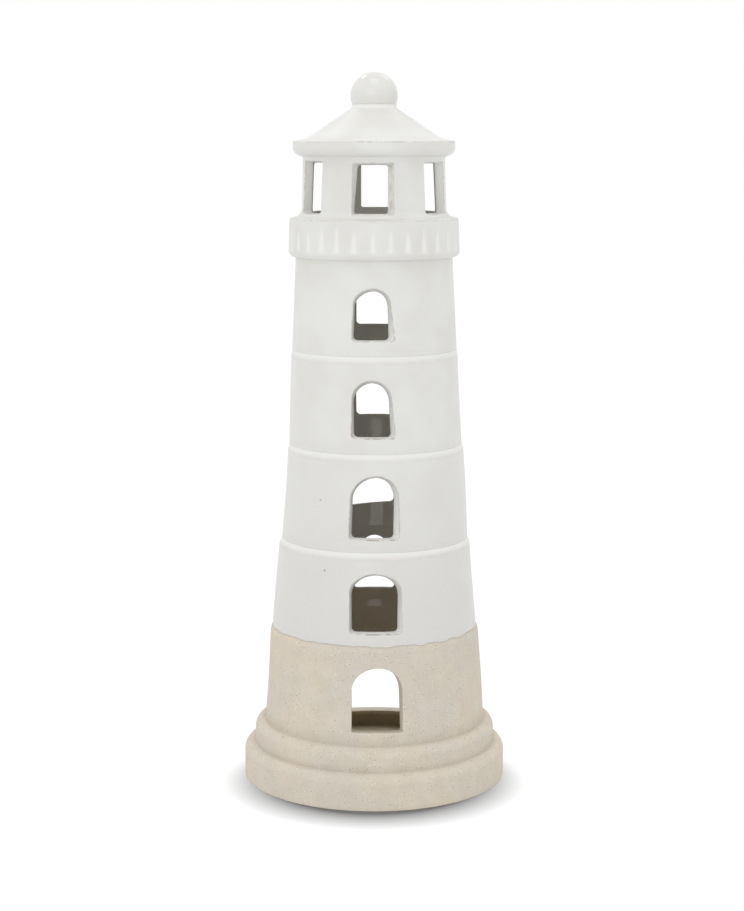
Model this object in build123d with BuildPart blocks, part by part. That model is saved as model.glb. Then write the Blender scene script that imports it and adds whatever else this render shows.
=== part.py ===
from build123d import *
from math import radians, tan
import os

# Lighthouse for a tealight: hollow stoneware rings, slip-cast and luted one on another.
# Millimetres. The axis is Z, the foot stands on z = 0, the front windows face -Y, the door faces +Y.
# Each ring above the base has a spigot that drops into a socket in the ring below.
# Window sizes are taken on the outside of the wall.

# Cast wall and the seams between the rings
wall = 5.0
seam_lap = 3.0
seam_clearance = 0.2
shoulder_rise = 3.0
storey_foot_bevel = 0.4

# Base: foot, two plinth rings with level tops and rounded edges, and the lowest storey's wall
base_height = 75.4
base_wall_radius = 53.7
base_ledge = 1.0
lower_ring_height = 16.9
lower_ring_step = 5.2
lower_ring_rounding = 4.4
upper_ring_height = 11.1
upper_ring_step = 4.9
upper_ring_rounding = 4.5
foot_bevel = 1.0

# Floor disc: its flange lies in a rebate under the foot, and its lip stands up inside the wall
floor_level = 6.0
floor_thickness = 4.5
floor_lip = 2.0
floor_rebate = 1.6

# Glazed storeys, from the lowest up: each ledge is the step out below the next ring's foot
storey_1_height = 43.2
storey_1_foot_radius = 49.8
storey_1_ledge = 1.2
storey_2_height = 45.6
storey_2_foot_radius = 45.0
storey_2_ledge = 0.8
storey_3_height = 45.3
storey_3_foot_radius = 41.5
storey_3_ledge = 0.5
storey_4_height = 44.0
storey_4_foot_radius = 39.3
tower_head_radius = 37.3

# Gallery: a band round the head of the tower, with upright flutes for its balusters
gallery_height = 19.2
gallery_overhang = 3.4
gallery_batter = 0.7
gallery_rounding = 3.0
deck_fall = 0.9
deck_edge_bevel = 0.6
flute_count = 30
flute_radius = 1.3
flute_depth = 0.8
flute_foot_margin = 3.3
flute_head_margin = 3.6

# Lantern room
lantern_height = 28.1
lantern_wall = 4.2
lantern_foot_radius = 34.2
lantern_head_radius = 33.5
lantern_flare = 1.7
lantern_flare_rise = 2.6
lantern_flare_rounding = 3.5

# Roof: eave ring, cone and neck
roof_height = 24.2
eave_overhang = 4.8
eave_height = 7.0
eave_rounding = 4.2
eave_edge_bevel = 0.5
eave_shelf = 6.8
eave_shelf_rise = 1.3
neck_radius = 10.5
neck_height = 1.8
neck_rounding = 2.5
ceiling_radius = 14.0
ceiling_thickness = 3.5

# Finial: a ball on a tenon
finial_height = 15.0
finial_radius = 11.2
tenon_radius = 5.0
tenon_length = 7.0

# Arched windows: width, sill above the ring's foot, lintel below its head, and the rise of the arch.
# Each rear sill is cut a little higher than the front one.
base_window_width = 24.6
base_window_sill = 7.0
base_window_lintel = 9.8
base_window_rise = 9.5
base_window_taper = 8.0
door_width = 48.0
door_sill = 13.6
door_lintel = 21.4
door_rise = 24.0
storey_1_window_width = 23.7
storey_1_sill = 5.7
storey_1_lintel = 9.2
storey_1_rise = 9.0
storey_1_rear_width = 20.6
storey_1_rear_sill = 7.0
storey_1_rear_lintel = 7.1
storey_1_rear_rise = 13.0
storey_2_window_width = 22.4
storey_2_sill = 6.6
storey_2_lintel = 9.1
storey_2_rise = 11.2
storey_2_rear_sill = 8.6
storey_3_window_width = 20.1
storey_3_sill = 8.2
storey_3_lintel = 10.5
storey_3_rise = 9.0
storey_3_rear_sill = 8.5
storey_4_window_width = 18.6
storey_4_sill = 7.0
storey_4_lintel = 11.9
storey_4_rise = 7.4
storey_4_rear_sill = 8.7
window_taper = 14.0
window_corner = 2.0

# Square-headed windows of the lantern room
lantern_window_count = 6
lantern_window_width = 18.6
lantern_sill = 1.9
lantern_lintel = 2.1
lantern_window_taper = 16.3
lantern_window_corner = 1.5

# Every cut starts this far outside the widest part of its wall, and ends at this share of the bore
cut_margin = 1.0
cut_reach = 0.8

# Level of each seam above the table
storey_1_level = base_height
storey_2_level = storey_1_level + storey_1_height
storey_3_level = storey_2_level + storey_2_height
storey_4_level = storey_3_level + storey_3_height
gallery_level = storey_4_level + storey_4_height
lantern_level = gallery_level + gallery_height
roof_level = lantern_level + lantern_height
finial_level = roof_level + roof_height


def nearest_corner(section, radius, level):
    """Corner of a turned section that lies at a radius and a level."""
    return section.vertices().sort_by_distance((radius, level))[0]


def fitting_radius(radius, run, turn):
    """Rounding radius, limited so that its tangents stay within a straight run on a corner of this turn."""
    return min(radius, 0.95 * run / tan(radians(turn / 2)))


def facing_axis(turn, distance, level):
    """Upright plane that looks at the axis from a distance; turn 0 is the front."""
    outward = Vector(0, -1, 0).rotate(Axis.Z, turn)
    origin = outward * distance + Vector(0, 0, level)
    return Plane(origin=origin, x_dir=outward.cross(Vector(0, 0, 1)), z_dir=-outward)


def arch(turn, distance, wall_radius, sill, width, height, rise, taper):
    """Outline of an arched opening on an upright plane: a level sill, eased lower corners, half an ellipse above.

    At the wall's radius it has the given width, height and rise of the arch. Farther out it is larger at the
    sides and the head by the taper, and farther in it is smaller.
    """
    flare = (distance - wall_radius) * tan(radians(taper))
    half_width = width / 2 + flare
    spring = height - rise
    with BuildSketch(facing_axis(turn, distance, sill)) as outline:
        with BuildLine():
            EllipticalCenterArc((0, spring), half_width, rise + flare, arc_size=180)
            Polyline((-half_width, spring), (-half_width, 0), (half_width, 0), (half_width, spring))
        make_face()
        fillet(outline.vertices().group_by(Axis.Y)[0], window_corner)
    return outline.sketch


os.makedirs("parts", exist_ok=True)

# Base: the plinth's two rings carry the lowest storey, and the wall keeps one thickness inside them
upper_ring_radius = base_wall_radius + upper_ring_step
foot_radius = upper_ring_radius + lower_ring_step
ring_top = lower_ring_height + upper_ring_height
base_head_radius = storey_1_foot_radius + base_ledge
base_socket_radius = storey_1_foot_radius - wall / 2
rebate_radius = foot_radius - wall + floor_rebate
with BuildPart() as base_storey:
    with BuildSketch(Plane.XZ) as section:
        with BuildLine():
            Polyline(
                (rebate_radius, 0),
                (foot_radius, 0),
                (foot_radius, lower_ring_height),
                (upper_ring_radius, lower_ring_height),
                (upper_ring_radius, ring_top),
                (base_wall_radius, ring_top),
                (base_head_radius, base_height - shoulder_rise),
                (storey_1_foot_radius, base_height),
                (base_socket_radius, base_height),
                (base_socket_radius, base_height - seam_lap),
                (storey_1_foot_radius - wall, base_height - seam_lap),
                (base_wall_radius - wall, ring_top - wall),
                (upper_ring_radius - wall, ring_top - wall),
                (upper_ring_radius - wall, lower_ring_height - wall),
                (foot_radius - wall, lower_ring_height - wall),
                (foot_radius - wall, floor_level - floor_lip),
                (rebate_radius, floor_level - floor_lip),
                close=True,
            )
        make_face()
        chamfer(nearest_corner(section, foot_radius, 0), foot_bevel)
        lower_edge = nearest_corner(section, foot_radius, lower_ring_height)
        fillet(lower_edge, fitting_radius(lower_ring_rounding, lower_ring_step, 90))
        upper_edge = nearest_corner(section, upper_ring_radius, ring_top)
        fillet(upper_edge, fitting_radius(upper_ring_rounding, upper_ring_step, 90))
    revolve(axis=Axis.Z)

    window_sill = ring_top + base_window_sill
    window_height = base_height - base_window_lintel - window_sill
    outside = max(base_wall_radius, base_head_radius) + cut_margin
    inside = cut_reach * (min(base_wall_radius, storey_1_foot_radius) - wall)
    mean_radius = (base_wall_radius + base_head_radius) / 2
    outlines = [
        arch(
            0, distance, mean_radius, window_sill,
            base_window_width, window_height, base_window_rise, base_window_taper,
        )
        for distance in (outside, inside)
    ]
    loft(outlines, ruled=True, mode=Mode.SUBTRACT)

    door_height = base_height - door_lintel - door_sill
    distance = foot_radius + cut_margin
    door = arch(180, distance, foot_radius, door_sill, door_width, door_height, door_rise, 0)
    extrude(door, amount=distance, mode=Mode.SUBTRACT)
base_storey.part.label = "base_storey"
export_step(base_storey.part, "parts/base_storey.step")

# Floor disc: its flange is pushed up against the rebate's shoulder, so the piece stands on its foot ring
with BuildPart() as floor_disc:
    with BuildSketch(Plane.XY.offset(floor_level - floor_thickness)):
        Circle(rebate_radius - seam_clearance)
    extrude(amount=floor_thickness - floor_lip)
    with BuildSketch(Plane.XY.offset(floor_level - floor_lip)):
        Circle(foot_radius - wall - seam_clearance)
    extrude(amount=floor_lip)
floor_disc.part.label = "floor_disc"
export_step(floor_disc.part, "parts/floor_disc.step")

# Glazed storeys: tapering rings, each with a window at the front and one at the back
storeys = [
    (
        "storey_1", storey_1_level, storey_1_height, storey_1_foot_radius,
        storey_2_foot_radius, storey_1_ledge,
        (storey_1_window_width, storey_1_sill, storey_1_lintel, storey_1_rise),
        (storey_1_rear_width, storey_1_rear_sill, storey_1_rear_lintel, storey_1_rear_rise),
    ),
    (
        "storey_2", storey_2_level, storey_2_height, storey_2_foot_radius,
        storey_3_foot_radius, storey_2_ledge,
        (storey_2_window_width, storey_2_sill, storey_2_lintel, storey_2_rise),
        (storey_2_window_width, storey_2_rear_sill, storey_2_lintel, storey_2_rise),
    ),
    (
        "storey_3", storey_3_level, storey_3_height, storey_3_foot_radius,
        storey_4_foot_radius, storey_3_ledge,
        (storey_3_window_width, storey_3_sill, storey_3_lintel, storey_3_rise),
        (storey_3_window_width, storey_3_rear_sill, storey_3_lintel, storey_3_rise),
    ),
    (
        "storey_4", storey_4_level, storey_4_height, storey_4_foot_radius,
        tower_head_radius, 0,
        (storey_4_window_width, storey_4_sill, storey_4_lintel, storey_4_rise),
        (storey_4_window_width, storey_4_rear_sill, storey_4_lintel, storey_4_rise),
    ),
]
for name, level, height, radius, next_radius, ledge, front, rear in storeys:
    top = level + height
    head_radius = next_radius + ledge
    spigot_radius = radius - wall / 2 - seam_clearance
    spigot_end = level - seam_lap + seam_clearance
    socket_radius = next_radius - wall / 2
    with BuildPart() as storey:
        with BuildSketch(Plane.XZ) as section:
            with BuildLine():
                Polyline(
                    (spigot_radius, level),
                    (radius, level),
                    (head_radius, top - shoulder_rise),
                    (next_radius, top),
                    (socket_radius, top),
                    (socket_radius, top - seam_lap),
                    (next_radius - wall, top - seam_lap),
                    (radius - wall, level),
                    (radius - wall, spigot_end),
                    (spigot_radius, spigot_end),
                    close=True,
                )
            make_face()
            chamfer(nearest_corner(section, radius, level), storey_foot_bevel)
        revolve(axis=Axis.Z)

        outside = max(radius, head_radius) + cut_margin
        inside = cut_reach * (min(radius, next_radius) - wall)
        mean_radius = (radius + head_radius) / 2
        for turn, (width, sill, lintel, rise) in ((0, front), (180, rear)):
            outlines = [
                arch(
                    turn, distance, mean_radius, level + sill,
                    width, height - sill - lintel, rise, window_taper,
                )
                for distance in (outside, inside)
            ]
            loft(outlines, ruled=True, mode=Mode.SUBTRACT)
    storey.part.label = name
    export_step(storey.part, f"parts/{name}.step")

# Gallery: an overhanging band with a sloping deck, and flutes cut into its face
gallery_foot_radius = tower_head_radius + gallery_overhang
gallery_head_radius = gallery_foot_radius - gallery_batter
gallery_spigot_radius = tower_head_radius - wall / 2 - seam_clearance
gallery_spigot_end = gallery_level - seam_lap + seam_clearance
lantern_socket_radius = lantern_foot_radius - lantern_wall / 2
with BuildPart() as gallery:
    with BuildSketch(Plane.XZ) as section:
        with BuildLine():
            Polyline(
                (gallery_spigot_radius, gallery_level),
                (gallery_foot_radius, gallery_level),
                (gallery_head_radius, lantern_level - deck_fall),
                (lantern_foot_radius + lantern_flare, lantern_level),
                (lantern_socket_radius, lantern_level),
                (lantern_socket_radius, lantern_level - seam_lap),
                (lantern_foot_radius - lantern_wall, lantern_level - seam_lap),
                (tower_head_radius - wall, gallery_level),
                (tower_head_radius - wall, gallery_spigot_end),
                (gallery_spigot_radius, gallery_spigot_end),
                close=True,
            )
        make_face()
        under_edge = nearest_corner(section, gallery_foot_radius, gallery_level)
        fillet(under_edge, min(gallery_rounding, gallery_overhang))
        chamfer(nearest_corner(section, gallery_head_radius, lantern_level - deck_fall), deck_edge_bevel)
    revolve(axis=Axis.Z)

    flute_height = gallery_height - flute_foot_margin - flute_head_margin - deck_fall
    flute_plane = Plane.XY.offset(gallery_level + flute_foot_margin)
    with BuildSketch(flute_plane):
        with PolarLocations(gallery_foot_radius + flute_radius - flute_depth, flute_count):
            Circle(flute_radius)
    extrude(amount=flute_height, mode=Mode.SUBTRACT)
gallery.part.label = "gallery"
export_step(gallery.part, "parts/gallery.step")

# Lantern room: a plain drum with a flared foot; its own spigot stands up into the roof
lantern_spigot_radius = lantern_socket_radius - seam_clearance
lantern_spigot_end = lantern_level - seam_lap + seam_clearance
roof_socket_radius = lantern_head_radius - lantern_wall / 2
roof_spigot_radius = roof_socket_radius - seam_clearance
roof_spigot_end = roof_level + seam_lap - seam_clearance
with BuildPart() as lantern_room:
    with BuildSketch(Plane.XZ) as section:
        with BuildLine():
            Polyline(
                (lantern_spigot_radius, lantern_level),
                (lantern_foot_radius + lantern_flare, lantern_level),
                (lantern_foot_radius, lantern_level + lantern_flare_rise),
                (lantern_head_radius, roof_level),
                (roof_spigot_radius, roof_level),
                (roof_spigot_radius, roof_spigot_end),
                (lantern_head_radius - lantern_wall, roof_spigot_end),
                (lantern_foot_radius - lantern_wall, lantern_level),
                (lantern_foot_radius - lantern_wall, lantern_spigot_end),
                (lantern_spigot_radius, lantern_spigot_end),
                close=True,
            )
        make_face()
        flare_corner = nearest_corner(section, lantern_foot_radius, lantern_level + lantern_flare_rise)
        fillet(flare_corner, fitting_radius(lantern_flare_rounding, lantern_flare, 55))
    revolve(axis=Axis.Z)

    outside = lantern_foot_radius + lantern_flare + cut_margin
    inside = cut_reach * (lantern_head_radius - lantern_wall)
    mean_radius = (lantern_foot_radius + lantern_head_radius) / 2
    window_sill = lantern_level + lantern_sill
    window_height = lantern_height - lantern_sill - lantern_lintel
    for window in range(lantern_window_count):
        turn = window * 360 / lantern_window_count
        outlines = []
        for distance in (outside, inside):
            flare = (distance - mean_radius) * tan(radians(lantern_window_taper))
            with BuildSketch(facing_axis(turn, distance, window_sill)) as outline:
                with Locations((0, (window_height + flare) / 2)):
                    Rectangle(lantern_window_width + 2 * flare, window_height + flare)
                fillet(outline.vertices(), lantern_window_corner)
            outlines.append(outline.sketch)
        loft(outlines, ruled=True, mode=Mode.SUBTRACT)
lantern_room.part.label = "lantern_room"
export_step(lantern_room.part, "parts/lantern_room.step")

# Roof: a hollow cone on a heavy eave ring, with a neck that takes the finial's tenon
eave_radius = lantern_head_radius + eave_overhang
eave_top = roof_level + eave_height
mortise_radius = tenon_radius + seam_clearance
mortise_floor = finial_level - tenon_length - seam_clearance
with BuildPart() as roof:
    with BuildSketch(Plane.XZ) as section:
        with BuildLine():
            Polyline(
                (roof_socket_radius, roof_level),
                (eave_radius, roof_level),
                (eave_radius, eave_top),
                (eave_radius - eave_shelf, eave_top + eave_shelf_rise),
                (neck_radius, finial_level - neck_height),
                (neck_radius, finial_level),
                (mortise_radius, finial_level),
                (mortise_radius, mortise_floor),
                (0, mortise_floor),
                (0, mortise_floor - ceiling_thickness),
                (ceiling_radius, mortise_floor - ceiling_thickness),
                (lantern_head_radius - lantern_wall, roof_level + seam_lap),
                (roof_socket_radius, roof_level + seam_lap),
                close=True,
            )
        make_face()
        fillet(nearest_corner(section, eave_radius, roof_level), min(eave_rounding, eave_overhang))
        chamfer(nearest_corner(section, eave_radius, eave_top), eave_edge_bevel)
        neck_corner = nearest_corner(section, neck_radius, finial_level - neck_height)
        fillet(neck_corner, fitting_radius(neck_rounding, neck_height, 56))
    revolve(axis=Axis.Z)
roof.part.label = "roof"
export_step(roof.part, "parts/roof.step")

# Finial: a ball flattened where it sits on the neck
with BuildPart() as finial:
    with Locations((0, 0, finial_level + finial_height - finial_radius)):
        Sphere(finial_radius)
    split(bisect_by=Plane.XY.offset(finial_level), keep=Keep.TOP)
    with BuildSketch(Plane.XY.offset(finial_level)):
        Circle(tenon_radius)
    extrude(amount=-tenon_length)
finial.part.label = "finial"
export_step(finial.part, "parts/finial.step")
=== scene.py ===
import bpy
import numpy as np
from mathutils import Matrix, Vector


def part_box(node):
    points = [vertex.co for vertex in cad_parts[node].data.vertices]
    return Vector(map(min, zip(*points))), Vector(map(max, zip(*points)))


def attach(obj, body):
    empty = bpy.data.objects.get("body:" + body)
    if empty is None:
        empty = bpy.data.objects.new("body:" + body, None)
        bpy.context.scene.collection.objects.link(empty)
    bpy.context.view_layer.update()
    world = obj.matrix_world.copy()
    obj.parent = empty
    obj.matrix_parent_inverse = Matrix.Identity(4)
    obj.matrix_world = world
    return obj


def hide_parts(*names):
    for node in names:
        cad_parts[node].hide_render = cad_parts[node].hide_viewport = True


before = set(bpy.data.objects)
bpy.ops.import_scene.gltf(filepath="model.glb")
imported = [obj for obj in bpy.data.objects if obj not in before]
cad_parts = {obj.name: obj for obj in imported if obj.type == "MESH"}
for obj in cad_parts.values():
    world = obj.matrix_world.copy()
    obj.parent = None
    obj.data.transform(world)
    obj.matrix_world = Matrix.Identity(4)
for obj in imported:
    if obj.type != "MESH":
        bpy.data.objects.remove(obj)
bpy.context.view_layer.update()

# Stoneware base: the lowest storey on two plinth rings, slip-cast in one piece and left bare.
# Light shows through its front arch, and a tealight goes in by the wider door at the back.
# The ring above is luted into its socket, and that ring's glaze runs a little way over its shoulder.
MM = 0.001
wall = 5.0
seam_lap = 3.0

foot_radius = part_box("base_storey")[1].x / MM
base_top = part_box("base_storey")[1].z / MM
rebate_radius = 60.4
rebate_top = 4.0
lower_ring_top = 16.9
upper_ring_radius = 58.6
upper_ring_top = 28.0
base_wall_radius = 53.7
base_head_radius = 50.8
storey_1_foot_radius = 49.8
shoulder_rise = 3.0
lower_shelf_fall = 0.6
upper_shelf_fall = 0.15
arch_low = 32.6
arch_high = 67.8
door_low = 11.2
door_high = 56.6
inner_step_rise = 0.5
inner_step_drop = 1
inner_step_round = 1.5
base_rows_low = 8.0
base_rows_high = 70.9
base_column_step = 1.5
base_row_step = 0.75
least_row_step = 0.1
sharp_angle = 50


def rounded_line(*corners, step=1.5, arc_step=0.4):
    """Profile (r, z) through corners written (r, z) or (r, z, rounding).

    A rounded corner becomes the arc that touches both runs, starting rounding / tan(half the corner's
    angle) before the corner. Runs longer than step, and arcs longer than arc_step, are divided evenly.
    """
    at = np.array([corner[:2] for corner in corners], float)
    parts = [at[:1]]
    for here, before, after, corner in zip(at[1:-1], at[:-2], at[2:], corners[1:-1]):
        if len(corner) == 2:
            parts.append(here[None])
            continue
        rounding = corner[2]
        back = (before - here) / np.linalg.norm(before - here)
        on = (after - here) / np.linalg.norm(after - here)
        half = np.arccos(np.clip(back @ on, -1, 1)) / 2
        middle = (back + on) / np.linalg.norm(back + on)
        centre = here + middle * rounding / np.sin(half)
        start = here + back * rounding / np.tan(half) - centre
        sweep = np.sign(back[1] * on[0] - back[0] * on[1]) * (np.pi - 2 * half)
        count = max(4, int(np.ceil(abs(sweep) * rounding / arc_step)) + 1)
        angle = np.arctan2(start[1], start[0]) + np.linspace(0, sweep, count)
        parts.append(centre + rounding * np.column_stack([np.cos(angle), np.sin(angle)]))
    parts.append(at[-1:])
    line = np.vstack(parts)
    runs = np.linalg.norm(np.diff(line, axis=0), axis=1)
    counts = np.maximum(1, np.ceil(runs / step)).astype(int)
    place = np.repeat(np.arange(len(runs)), counts)
    step_number = np.arange(len(place)) - np.repeat(np.cumsum(counts) - counts, counts)
    share = step_number / np.repeat(counts, counts)
    place = np.append(place + share, len(line) - 1)
    return np.column_stack([np.interp(place, np.arange(len(line)), line[:, k]) for k in (0, 1)])


def divided(stops, step):
    """Values that run through all the stops, in equal steps of at most step from stop to stop."""
    counts = np.maximum(1, np.ceil(np.diff(stops) / step - 1e-6)).astype(int)
    parts = [np.linspace(a, b, n, endpoint=False) for a, b, n in zip(stops[:-1], stops[1:], counts)]
    return np.append(np.concatenate(parts), stops[-1])


def on_rows(line, rows):
    """Profile with one point on each row between the first and the last row, and where that stretch starts.

    The radius on a row is read off the line at that height.
    """
    inside = np.flatnonzero((line[:, 1] > rows[0]) & (line[:, 1] < rows[-1]))
    run = line[inside[0] - 1:inside[-1] + 2]
    way = 1 if run[-1, 1] > run[0, 1] else -1
    radius = np.interp(rows, run[::way, 1], run[::way, 0])
    stretch = np.column_stack([radius, rows])[::way]
    return np.vstack([line[:inside[0]], stretch, line[inside[-1] + 1:]]), inside[0]


def opening_outline(shape, across, rows):
    """Points and outward normals round an opening, anticlockwise from its lower left corner, in (x, z).

    shape is the left and right sides at the sill, the same at the springing, the sill, the top, the
    head's corner in x and z, the sill's corner, the crown's shift and the sill's tip. It starts as a
    rectangle whose corners are quarter ellipses. Then x is drawn to the sides at its height, and over by
    the crown's shift times the square of the height share above the springing, and the sill tips up to
    the right. Each side runs from the middle of one corner to the middle of the next. The sill and the
    head have equal steps along their length, and the upright sides have a point at each row's height
    from the sill to the springing.
    """
    (left_low, right_low), (left_high, right_high), low, high, (head_x, head_z), corner, crown, tip = shape
    half = (right_low - left_low + right_high - left_high) / 4
    head_x = min(head_x, half)
    arc_points = 24
    corners = (
        (-half + corner, low + corner, corner, corner, 180),
        (half - corner, low + corner, corner, corner, 270),
        (half - head_x, high - head_z, head_x, head_z, 0),
        (-half + head_x, high - head_z, head_x, head_z, 90),
    )
    points, normals = [], []
    for side in range(4):
        arcs = []
        for (x, z, a, b, start), turn in ((corners[side], 45), (corners[(side + 1) % 4], 0)):
            t = np.radians(start + turn + np.linspace(0, 45, arc_points))
            normal = np.column_stack([np.cos(t) / a, np.sin(t) / b])
            normal /= np.linalg.norm(normal, axis=1)[:, None]
            arcs.append(np.column_stack([x + a * np.cos(t), z + b * np.sin(t), normal]))
        arc = np.vstack(arcs)
        across_share, z = arc[:, 0] / half, arc[:, 1]
        up_share = np.clip((z - low) / (high - head_z - low), 0, 1)
        left = left_low + (left_high - left_low) * up_share
        right = right_low + (right_high - right_low) * up_share
        over = crown * np.clip((z - high + head_z) / head_z, 0, 1) ** 2
        arc[:, 0] = (left + right) / 2 + across_share * (right - left) / 2 + over
        arc[:, 1] = z + tip * across_share * (1 - up_share)
        if side % 2 == 0:
            run = np.append(0, np.cumsum(np.linalg.norm(np.diff(arc[:, :2], axis=0), axis=1)))
            place = np.linspace(0, run[-1], across, endpoint=False)
        else:
            arc = arc if side == 1 else arc[::-1]
            run = arc[:, 1]
            straight = (low + corner, high - head_z)
            levels = np.interp(rows, (rows[0], *straight, rows[-1]), (run[0], *straight, run[-1]))
            place = levels[:-1] if side == 1 else levels[:0:-1]
        side_points = np.column_stack([np.interp(place, run, arc[:, k]) for k in range(4)])
        points.append(side_points[:, :2])
        normals.append(side_points[:, 2:] / np.linalg.norm(side_points[:, 2:], axis=1)[:, None])
    return np.vstack(points), np.vstack(normals)


def window_layers(window, turns, rows, outer, inner):
    """Rings of points (x, y, z) from a wall's outer face, round the lip and through to its inner face.

    A ring on a face blends, in angle and height, from the rectangle of the ring's own grid to the
    window's edge. The lip is a quarter round: at angle f it is lip sin f inside the edge and
    lip (1 - cos f) deep. The jamb runs straight from there to the inner outline. Also returns each
    point's share of lip, of inner face, and of painted light on the jamb, which whitens the sill and the
    right side where light from the left and from above falls.
    """
    across, up = len(turns) - 1, len(rows) - 1
    square_turn = np.concatenate([turns[:-1], np.full(up, turns[-1]), turns[:0:-1], np.full(up, turns[0])])
    square_z = np.concatenate([np.full(across, rows[0]), rows[:-1], np.full(across, rows[-1]), rows[:0:-1]])
    edge, normal = opening_outline(window["outer"], across, rows)
    end, end_normal = opening_outline(window["inner"], across, rows)
    lip = window["lip"]
    inner_lip = 0.3
    jamb_bare = 0.3
    least_wear = 0.55
    lip_steps, jamb_steps, inner_lip_steps = 6, 7, 5
    low, high = edge[:, 1].min(), edge[:, 1].max()
    wear = least_wear + (1 - least_wear) * np.clip(1 - 2 * (edge[:, 1] - low) / (high - low), 0, 1) ** 2
    jamb_wear = window.get("worn", 0) * np.clip(normal[:, 0], 0, 1)
    # Painted light: the sill and the right jamb are made whiter, as light from the left and from above falls
    # on them.
    pooled = np.clip(np.maximum(normal[:, 0], -normal[:, 1]), 0, 1)
    rings, shares = [], []

    def face(line, x, z):
        return -np.sqrt(np.interp(z, line[:, 1], line[:, 0]) ** 2 - x ** 2)

    def on_face(line, rim, t):
        rim_turn = np.arcsin(rim[:, 0] / np.interp(rim[:, 1], line[:, 1], line[:, 0]))
        turn = square_turn * (1 - t) + rim_turn * t
        z = square_z * (1 - t) + rim[:, 1] * t
        radius = np.interp(z, line[:, 1], line[:, 0])
        return np.column_stack([radius * np.sin(turn), -radius * np.cos(turn), z])

    def add(ring, lip_share=0, inner_share=0, jamb_share=0):
        rings.append(ring)
        shares.append([np.broadcast_to(share, len(edge)) for share in (lip_share, inner_share, jamb_share)])

    spread = np.array([0, 0.3, 0.55, 0.75, 0.9])
    for t in spread:
        add(on_face(outer, edge, t))
    for f in np.radians(np.linspace(0, 90, lip_steps + 1)):
        x, z = (edge - normal * lip * np.sin(f)).T
        ring = np.column_stack([x, face(outer, x, z) + lip * (1 - np.cos(f)), z])
        add(ring, lip_share=wear * np.sin(2 * f), jamb_share=pooled * np.sin(f) ** 4)
    start = edge - normal * lip
    for u in np.linspace(0, 1, jamb_steps + 1)[1:]:
        x, z = (start * (1 - u) + end * u).T
        begin, finish = face(outer, x, z) + lip, face(inner, x, z) - inner_lip
        ring = np.column_stack([x, begin + u * (finish - begin), z])
        add(ring, jamb_wear * np.sin(np.pi * u), jamb_bare * u ** 3, pooled)
    for f in np.radians(np.linspace(0, 90, inner_lip_steps + 1))[1:]:
        wide = end + end_normal * inner_lip * (1 - np.cos(f))
        x, z = wide.T
        ring = np.column_stack([x, face(inner, x, z) - inner_lip * (1 - np.sin(f)), z])
        inner_share = jamb_bare + (1 - jamb_bare) * np.sin(f)
        add(ring, inner_share=inner_share, jamb_share=pooled * (1 - np.sin(f)))
    for t in spread[::-1]:
        add(on_face(inner, wide, t), inner_share=1)
    return np.array(rings), *np.moveaxis(np.array(shares), 1, 0)


def hand_made(points):
    """Points with the unevenness of cast and sponged clay: the radius swells by sines of angle and height.

    The swell is under 0.4 mm, is nothing on the axis, and only draws in at the foot, which stays flat.
    The luted tower also bows to the right, by bell curves of height about the base's and the second
    ring's middle.
    """
    swells = ((0.16, 2, 61, 0.7), (0.10, 3, -37, 1.9), (0.06, 7, 23, 0.4))
    bows = ((0.4, 48, 22), (0.85, 147, 30))
    foot_height = 30
    foot_calm = 0.7
    foot_draw = 0.1
    mean_radius = 50
    x, y, z = points.T
    turn = np.arctan2(x, -y)
    swell = sum(size * np.sin(lobes * turn + z / rise + phase) for size, lobes, rise, phase in swells)
    foot = np.clip(1 - z / foot_height, 0, 1)
    swell = swell * (1 - foot_calm * foot) - foot_draw * foot
    scale = 1 + swell / mean_radius
    bow = sum(shift * np.exp(-((z - middle) / spread) ** 2) for shift, middle, spread in bows)
    return np.column_stack([x * scale + bow, y * scale, z])


def cast_piece(name, node, points, faces, slot, material, **attributes):
    """Object made of points in millimetres and arrays of faces, in place of a CAD node on the one body."""
    used, places = np.unique(np.concatenate([f.ravel() for f in faces]), return_inverse=True)
    ends = np.cumsum([f.size for f in faces])
    polygons = []
    for f, end in zip(faces, ends):
        polygons += places[end - f.size:end].reshape(f.shape).tolist()
    mesh = bpy.data.meshes.new(name)
    mesh.from_pydata((hand_made(points[used]) * MM).tolist(), [], polygons)
    mesh.shade_smooth()
    mesh.set_sharp_from_angle(angle=np.radians(sharp_angle))
    for key, values in attributes.items():
        attribute = mesh.attributes.new(key, "FLOAT", "POINT")
        attribute.data.foreach_set("value", values[used].astype(np.float32))
    mesh.materials.append(material)
    piece = bpy.data.objects.new(name, mesh)
    bpy.context.scene.collection.objects.link(piece)
    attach(piece, "root")
    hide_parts(node)
    return piece


def grid_faces(ids):
    """Four-cornered faces between neighbouring rows and columns of a grid of point numbers."""
    return np.stack([ids[:-1, :-1], ids[:-1, 1:], ids[1:, 1:], ids[1:, :-1]], axis=-1)


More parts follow.
